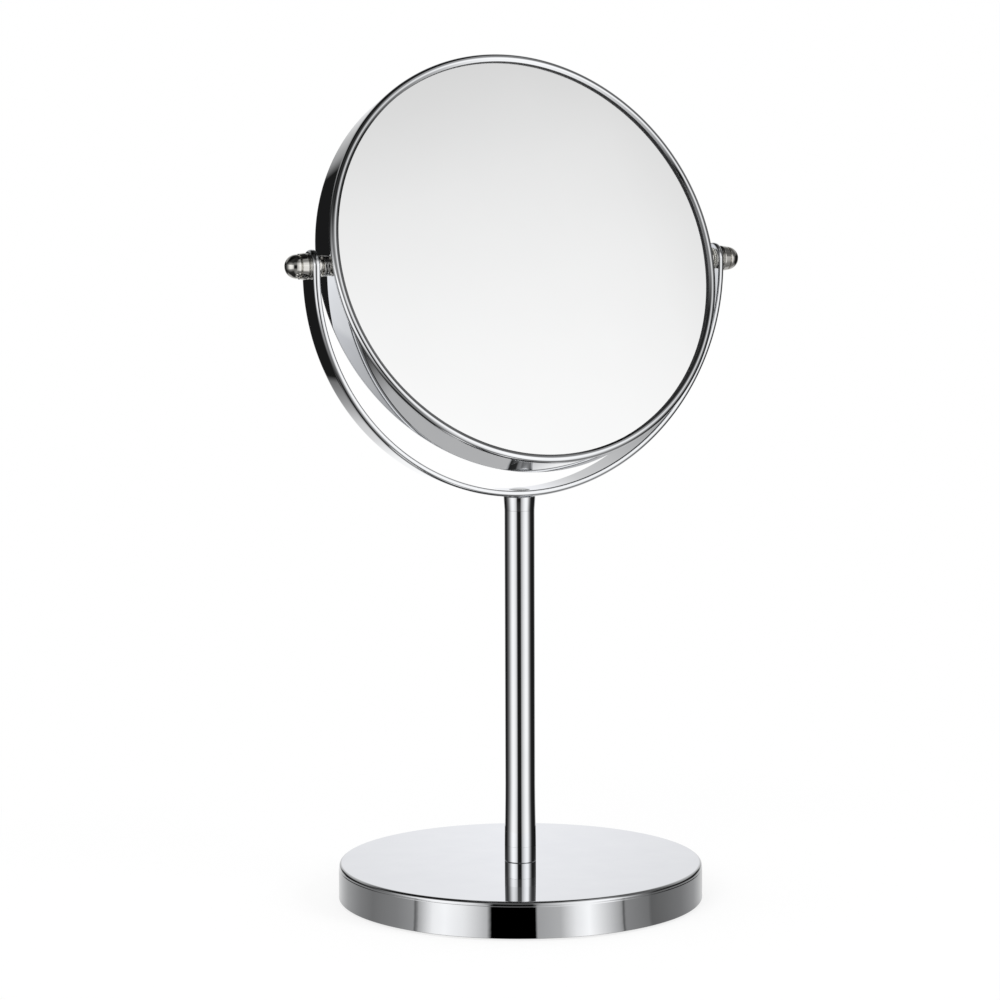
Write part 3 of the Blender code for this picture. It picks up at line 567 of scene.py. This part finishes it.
def make_base():
    bore = BOLT_RADIUS + 0.3
    inner = BASE_RADIUS - BASE_WALL
    wall = BASE_RADIUS - BASE_BEAD
    edge = wall - BASE_LEDGE
    ledge = BASE_HEIGHT - BASE_LEDGE_DEPTH
    shell = [(bore, BASE_HEIGHT, 0.1), (edge, BASE_HEIGHT, BASE_ROUND), (edge, ledge, 0.03),
             (wall, ledge - BASE_LEDGE_DROP, 0.12), (wall, BASE_FOOT + BASE_BEAD_HEIGHT, 0.4),
             (BASE_RADIUS, BASE_FOOT + BASE_BEAD_FOOT, 0.3),
             (BASE_RADIUS - 0.3, BASE_FOOT, 0.1), (inner, BASE_FOOT, 0.2),
             (inner, BASE_HEIGHT - BASE_WALL, 1.0), (bore, BASE_HEIGHT - BASE_WALL, 0.1)]
    add_piece("base_dish", turned(shell, RIM_STEPS), "stand", "base_shell")

    ballast = ring(bore, BALLAST_RADIUS, BALLAST_UNDERSIDE, BASE_HEIGHT - BASE_WALL - TOUCH, 0.6)
    add_piece("iron_plate", turned(ballast, RIM_STEPS), "stand", "base_ballast")

    plate = COVER_UNDERSIDE + COVER_THICKNESS
    rib_top = BALLAST_UNDERSIDE - TOUCH
    rib_inner = COVER_RIB - COVER_RIB_HALF_WIDTH
    rib_outer = COVER_RIB + COVER_RIB_HALF_WIDTH
    cover = [(COVER_HOLE, plate, 0.3), (rib_inner, plate, 0.4), (rib_inner, rib_top, 0.3),
             (rib_outer, rib_top, 0.3), (rib_outer, plate, 0.4), (inner - 0.1, plate, 0.3),
             (inner - 0.1, COVER_UNDERSIDE, 0.3), (COVER_HOLE, COVER_UNDERSIDE, 0.3)]
    add_piece("bottom_cover", turned(cover, RIM_STEPS), "stand", "base_cover")
    pad = ring(COVER_HOLE + 0.5, PAD_RADIUS, 0.0, COVER_UNDERSIDE - TOUCH, 0.5)
    add_piece("foam_foot", turned(pad, RIM_STEPS), "stand", "base_pad")


def make_base_bolt():
    bore = BOLT_RADIUS + 0.2
    washer_foot = BALLAST_UNDERSIDE - BASE_WASHER_THICKNESS
    lock_foot = washer_foot - LOCK_WASHER_THICKNESS
    washer = ring(bore, BASE_WASHER_RADIUS, washer_foot, BALLAST_UNDERSIDE - TOUCH, 0.2)
    add_piece("flat_washer", turned(washer, SMALL_STEPS), "stand", "base_washer")

    work = bmesh.new()
    rounded_wire(work, ring(bore, LOCK_WASHER_RADIUS, lock_foot, washer_foot - TOUCH, 0.15), True)
    bmesh.ops.rotate(work, matrix=Matrix.Rotation(LOCK_WASHER_SLIT / 2, 3, "Z"), verts=work.verts)
    start = bmesh.ops.contextual_create(work, geom=work.edges[:])["faces"]
    bmesh.ops.spin(work, geom=start + work.verts[:] + work.edges[:], cent=(0, 0, 0), axis=(0, 0, 1),
                   angle=math.tau - LOCK_WASHER_SLIT, steps=SMALL_STEPS)
    bmesh.ops.recalc_face_normals(work, faces=work.faces)
    add_piece("split_washer", work, "stand", "base_lock_washer")

    top = lock_foot - TOUCH
    head_radius = BOLT_FLATS * MM / math.sqrt(3.0)
    work = bmesh.new()
    bmesh.ops.create_cone(work, cap_ends=True, segments=6, radius1=head_radius, radius2=head_radius,
                          depth=BOLT_HEAD * MM)
    rims = [edge for edge in work.edges if abs(edge.verts[0].co.z - edge.verts[1].co.z) < 1e-6]
    bmesh.ops.bevel(work, geom=rims, offset=0.35 * MM, segments=4, profile=0.5, affect="EDGES", material=-1)
    bmesh.ops.translate(work, vec=(0, 0, (top - BOLT_HEAD / 2) * MM), verts=work.verts)
    shank = bmesh.ops.create_cone(work, cap_ends=True, segments=SMALL_STEPS, radius1=BOLT_RADIUS * MM,
                                  radius2=BOLT_RADIUS * MM, depth=BOLT_LENGTH * MM)
    shank_middle = top + BOLT_LENGTH / 2 - BOLT_OVERLAP
    bmesh.ops.translate(work, vec=(0, 0, shank_middle * MM), verts=shank["verts"])
    bmesh.ops.recalc_face_normals(work, faces=work.faces)
    add_piece("hex_bolt", work, "stand", "base_bolt")


# Studio

def glowing(name):
    """An empty material tree and its output's surface socket."""
    material = bpy.data.materials.new(name)
    material.use_nodes = True
    tree = material.node_tree
    tree.nodes.clear()
    return material, tree, tree.nodes.new("ShaderNodeOutputMaterial").inputs["Surface"]


def emission(tree, colour, strength=None):
    node = tree.nodes.new("ShaderNodeEmission")
    tree.links.new(colour, node.inputs["Color"])
    if strength:
        tree.links.new(strength, node.inputs["Strength"])
    return node.outputs["Emission"]


def blend(tree, factor, first, second):
    node = tree.nodes.new("ShaderNodeMix")
    node.data_type = "RGBA"
    tree.links.new(factor, node.inputs["Factor"])
    tree.links.new(first, node.inputs[6])
    tree.links.new(second, node.inputs[7])
    return node.outputs[2]


def by_bearing(stops):
    """Ramp stops from (degrees to the camera's right, brightness)."""
    return [(degrees / 360.0 + 0.5, brightness) for degrees, brightness in stops]


def by_elevation(stops):
    """Ramp stops from (degrees above the horizon, brightness)."""
    return [(0.5 + 0.5 * math.sin(math.radians(degrees)), brightness) for degrees, brightness in stops]


def seen_in_metal_only(obj):
    obj.visible_camera = False
    obj.visible_diffuse = False
    obj.visible_shadow = False
    obj.visible_transmission = False
    obj.visible_volume_scatter = False


def make_surround():
    """What polished metal sees: two soft boxes with a gap at the camera, two fills overhead, dark flanks
    and a pale backdrop."""
    material, tree, surface = glowing("studio_surround")
    place = tree.nodes.new("ShaderNodeTexCoord").outputs["Object"]
    turn = tree.nodes.new("ShaderNodeMapping")
    turn.inputs["Rotation"].default_value = (0, 0, math.radians(90.0) - CAMERA_YAW)
    tree.links.new(place, turn.inputs["Vector"])
    radial = tree.nodes.new("ShaderNodeTexGradient")
    radial.gradient_type = "RADIAL"
    tree.links.new(turn.outputs["Vector"], radial.inputs["Vector"])
    around = radial.outputs["Fac"]
    unit = tree.nodes.new("ShaderNodeVectorMath")
    unit.operation = "NORMALIZE"
    tree.links.new(place, unit.inputs[0])
    axes = tree.nodes.new("ShaderNodeSeparateXYZ")
    tree.links.new(unit.outputs["Vector"], axes.inputs["Vector"])
    span = tree.nodes.new("ShaderNodeMapRange")
    span.inputs["From Min"].default_value = -1.0
    tree.links.new(axes.outputs["Z"], span.inputs["Value"])
    height = span.outputs["Result"]

    left_box = ramp(tree, around, by_bearing([
        (-120, 0.0), (-105, 0.05), (-89, 0.22), (-79, 0.48), (-68, 0.88), (-57, 1.12), (-45, 1.1),
        (-30, 0.84), (-23, 0.5), (-17, 0.0)]))
    left_fade = ramp(tree, height, by_elevation([
        (-42, 0.0), (-27, 0.22), (-20, 0.42), (-13, 1.0), (4, 1.0), (8, 1.2), (13, 1.15), (17, 0.5),
        (23, 0.33), (30, 0.2), (40, 0.03)]))
    right_low = ramp(tree, around, by_bearing([
        (7, 0.0), (12, 0.4), (30, 0.88), (44, 1.12), (56, 1.1), (62, 0.93), (72, 0.48), (82, 0.17),
        (92, 0.01), (110, 0.0)]))
    right_high = ramp(tree, around, by_bearing([
        (7, 0.0), (12, 0.4), (30, 0.88), (44, 1.1), (52, 1.1), (60, 1.035), (66, 0.6), (71, 0.2), (82, 0.15),
        (104, 0.12), (114, 0.03), (125, 0.0)]))
    right_box = blend(tree, ramp(tree, height, by_elevation([(13, 0.0), (17, 1.0)])), right_low, right_high)
    right_fade = ramp(tree, height, by_elevation([
        (-42, 0.0), (-28, 1.0), (4, 1.0), (8, 1.15), (13, 1.1), (17, 1.0), (22, 1.0), (28, 0.945),
        (30.5, 0.885), (32.5, 0.813), (34.5, 0.685), (40, 0.41), (50, 0.15), (62, 0.03)]))
    gap = ramp(tree, around, by_bearing([(-30, 0.0), (-16, 0.2), (8, 0.2), (22, 0.0)]))
    gap_fade = ramp(tree, height, by_elevation([
        (-45, 0.8), (-20, 1.0), (-13, 0.0), (13, 0.0), (19, 1.0), (36, 1.0), (46, 0.1)]))
    overhead = ramp(tree, around, by_bearing([(15, 0.0), (60, 0.1), (140, 0.1), (165, 0.0)]))
    overhead_fade = ramp(tree, height, by_elevation([(34, 0.0), (44, 1.0), (62, 1.0), (70, 0.0)]))
    zenith = ramp(tree, around, by_bearing([(30, 0.0), (50, 0.25), (90, 0.25), (108, 0.0)]))
    zenith_fade = ramp(tree, height, by_elevation([(50, 0.0), (56, 1.0), (63, 1.0), (68, 0.0)]))
    nadir = ramp(tree, around, by_bearing([(-170, 0.1), (-130, 0.02), (-10, 0.02), (40, 0.2), (180, 0.2)]))
    deep = ramp(tree, around, by_bearing([
        (-130, 0.5), (-105, 0.02), (-20, 0.03), (5, 0.12), (40, 0.22), (95, 0.22), (110, 0.14), (130, 0.5)]))
    below = ramp(tree, around, by_bearing([
        (-180, 1.1), (-167, 1.01), (-160, 0.76), (-155, 0.7), (-150, 0.43), (-142.9, 0.17), (-142.5, 0.012),
        (137, 0.012), (142, 0.1), (156, 0.6), (170, 0.85), (180, 1.1)]))
    above = ramp(tree, around, by_bearing([
        (-180, (0.955, 0.96, 0.985)), (-166, 0.6), (-157, 0.35), (-152, 0.012), (152, 0.012), (157, 0.35),
        (166, 0.62), (180, (0.955, 0.96, 0.985))]))
    raised = ramp(tree, around, by_bearing([
        (-180, 0.75), (-165, 0.58), (-150, 0.42), (-125, 0.3), (-108, 0.0), (108, 0.0), (125, 0.3),
        (150, 0.42), (165, 0.58), (180, 0.75)]))
    back = blend(tree, ramp(tree, height, by_elevation([(-60, 0.0), (-52, 1.0)])), nadir, deep)
    back = blend(tree, ramp(tree, height, by_elevation([(-38, 0.0), (-26, 1.0)])), back, below)
    back = blend(tree, ramp(tree, height, by_elevation([(-0.5, 0.0), (0.5, 1.0)])), back, above)
    back = blend(tree, ramp(tree, height, by_elevation([(12, 0.0), (20, 1.0)])), back, raised)
    back_fade = ramp(tree, height, by_elevation([(30, 1.0), (47, 0.03)]))
    whole = emission(tree, back, back_fade)
    for light, fade in ((left_box, left_fade), (right_box, right_fade), (gap, gap_fade),
                        (overhead, overhead_fade), (zenith, zenith_fade)):
        both = tree.nodes.new("ShaderNodeAddShader")
        tree.links.new(whole, both.inputs[0])
        tree.links.new(emission(tree, light, fade), both.inputs[1])
        whole = both.outputs["Shader"]
    tree.links.new(whole, surface)

    work = bmesh.new()
    bmesh.ops.create_icosphere(work, subdivisions=5, radius=40.0)
    seen_in_metal_only(add_mesh_object("studio_surround", work, material))


def make_painted_wall_reflection():
    """Painted reflection for the base's wall: a glowing card, seen only in metal, standing in for the table in
    front of the base as the wall mirrors it, in upright bands of light and dark.

    U runs round the wall from left to right as the camera sees it, and V out along the mirrored ray.
    """
    material, tree, surface = glowing("painted_wall_reflection")
    place = tree.nodes.new("ShaderNodeTexCoord")
    axes = tree.nodes.new("ShaderNodeSeparateXYZ")
    tree.links.new(place.outputs["UV"], axes.inputs["Vector"])
    # These tones are painted reflection: the light and dark the base's wall is to show, glowing from this card
    # rather than reflected from a lit table.
    tones = [(-90, 0.8), (-80, 0.63), (-70, 0.37), (-60, 0.235), (-53, 0.18), (-42, 0.235), (-35, 0.32),
             (-34.2, 0.05), (-33.4, 0.4), (-28, 1.02), (-24, 1.12), (-18, 0.96), (-10, 0.5), (-9.7, 0.0),
             (4.5, 0.0), (4.8, 0.4), (12, 0.5), (17, 0.95), (21, 1.14), (25, 0.86), (32.2, 0.38), (33, 0.1),
             (33.8, 0.27), (43, 0.19), (44, 0.13), (50, 0.155), (60, 0.21), (70, 0.335), (80, 0.595),
             (90, 0.68)]
    bands = ramp(tree, axes.outputs["X"], [(degrees / 180.0 + 0.5, tone) for degrees, tone in tones])
    tree.links.new(emission(tree, bands), surface)

    work = bmesh.new()
    work.loops.layers.uv.new("wall_bands")
    reach = 75.0
    bmesh.ops.create_grid(work, x_segments=120, y_segments=4, size=1.0, calc_uvs=True)
    for vert in work.verts:
        bearing = vert.co.x * math.radians(90.0)
        run = (vert.co.y + 1.0) / 2 * reach
        wall = CAMERA_YAW + bearing
        ray = CAMERA_YAW + 2 * bearing
        vert.co = Vector((BASE_RADIUS * math.sin(wall) + run * math.sin(ray),
                          -BASE_RADIUS * math.cos(wall) - run * math.cos(ray), -0.2)) * MM
    seen_in_metal_only(add_mesh_object("painted_wall_reflection", work, material))


def make_floor():
    """A white floor that fades into the white surround and keeps the object's shadow."""
    material, tree, surface = glowing("white_floor")
    mix = tree.nodes.new("ShaderNodeMixShader")
    matt = tree.nodes.new("ShaderNodeBsdfDiffuse")
    matt.inputs["Color"].default_value = (0.9, 0.9, 0.9, 1.0)
    glow = tree.nodes.new("ShaderNodeEmission")
    place = tree.nodes.new("ShaderNodeTexCoord")
    span = tree.nodes.new("ShaderNodeVectorMath")
    span.operation = "LENGTH"
    tree.links.new(place.outputs["Object"], span.inputs[0])
    tree.links.new(ramp(tree, span.outputs["Value"], [(0.1, 0.8), (0.35, 1.0)]), mix.inputs["Fac"])
    tree.links.new(matt.outputs["BSDF"], mix.inputs[1])
    tree.links.new(glow.outputs["Emission"], mix.inputs[2])
    tree.links.new(mix.outputs["Shader"], surface)
    work = bmesh.new()
    bmesh.ops.create_circle(work, cap_ends=True, segments=96, radius=6.0)
    floor = add_mesh_object("floor", work, material)
    floor.location.z = -0.4 * MM
    floor.visible_glossy = False


def make_world():
    """White to camera, glossy and transmission rays, and a soft even light for the rest."""
    world = bpy.data.worlds.new("studio")
    bpy.context.scene.world = world
    world.use_nodes = True
    tree = world.node_tree
    light = tree.nodes["Background"]
    light.inputs["Color"].default_value = (1.0, 1.0, 1.0, 1.0)
    path = tree.nodes.new("ShaderNodeLightPath")
    seen = path.outputs["Is Camera Ray"]
    for kind in ("Is Glossy Ray", "Is Transmission Ray"):
        either = tree.nodes.new("ShaderNodeMath")
        either.operation = "MAXIMUM"
        tree.links.new(seen, either.inputs[0])
        tree.links.new(path.outputs[kind], either.inputs[1])
        seen = either.outputs["Value"]
    strength = tree.nodes.new("ShaderNodeMapRange")
    strength.inputs["To Min"].default_value = 0.5
    tree.links.new(seen, strength.inputs["Value"])
    tree.links.new(strength.outputs["Result"], light.inputs["Strength"])


def make_lamp(name, place, power, size):
    data = bpy.data.lights.new(name, "AREA")
    data.energy = power
    data.shape = "DISK"
    data.size = size
    lamp = bpy.data.objects.new(name, data)
    lamp.location = place
    lamp.rotation_euler = (Vector((0, 0, 0.15)) - Vector(place)).to_track_quat("-Z", "Y").to_euler()
    lamp.visible_glossy = False
    lamp.visible_camera = False
    bpy.context.scene.collection.objects.link(lamp)


def make_camera():
    level = math.cos(CAMERA_PITCH)
    right = Vector((math.cos(CAMERA_YAW), math.sin(CAMERA_YAW), 0.0))
    back = Vector((math.sin(CAMERA_YAW) * level, -math.cos(CAMERA_YAW) * level, math.sin(CAMERA_PITCH)))
    aim = Vector((0, 0, CAMERA_AIM_HEIGHT)) + right * CAMERA_SIDE_STEP
    data = bpy.data.cameras.new("camera")
    data.sensor_width = CAMERA_SENSOR
    data.lens = CAMERA_LENS
    camera = bpy.data.objects.new("camera", data)
    camera.location = (aim + back * CAMERA_DISTANCE) * MM
    camera.rotation_euler = (back.to_track_quat("Z", "Y") @ Quaternion((0, 0, 1), CAMERA_ROLL)).to_euler()
    bpy.context.scene.collection.objects.link(camera)
    bpy.context.scene.camera = camera


def dress_frame():
    """Give every CAD node that stays its finish."""
    for node, obj in frame["nodes"].items():
        for holder in obj.material_slots:
            holder.material = FINISHES[SLOTS[node]]


make_camera()
dress_frame()
make_head()
for side_name, side_sign in (("left", -1), ("right", 1)):
    make_pivot(side_name, side_sign)
make_yoke()
make_stem()
make_base()
make_base_bolt()
make_surround()
make_painted_wall_reflection()
make_floor()
make_world()
make_lamp("left_soft_box", (-1.6, -1.2, 1.4), 22.0, 1.2)
make_lamp("right_soft_box", (1.2, -1.8, 1.4), 22.0, 1.2)
make_lamp("top_soft_box", (0.0, 0.4, 2.2), 16.0, 1.5)
bpy.context.scene.view_settings.view_transform = "Standard"
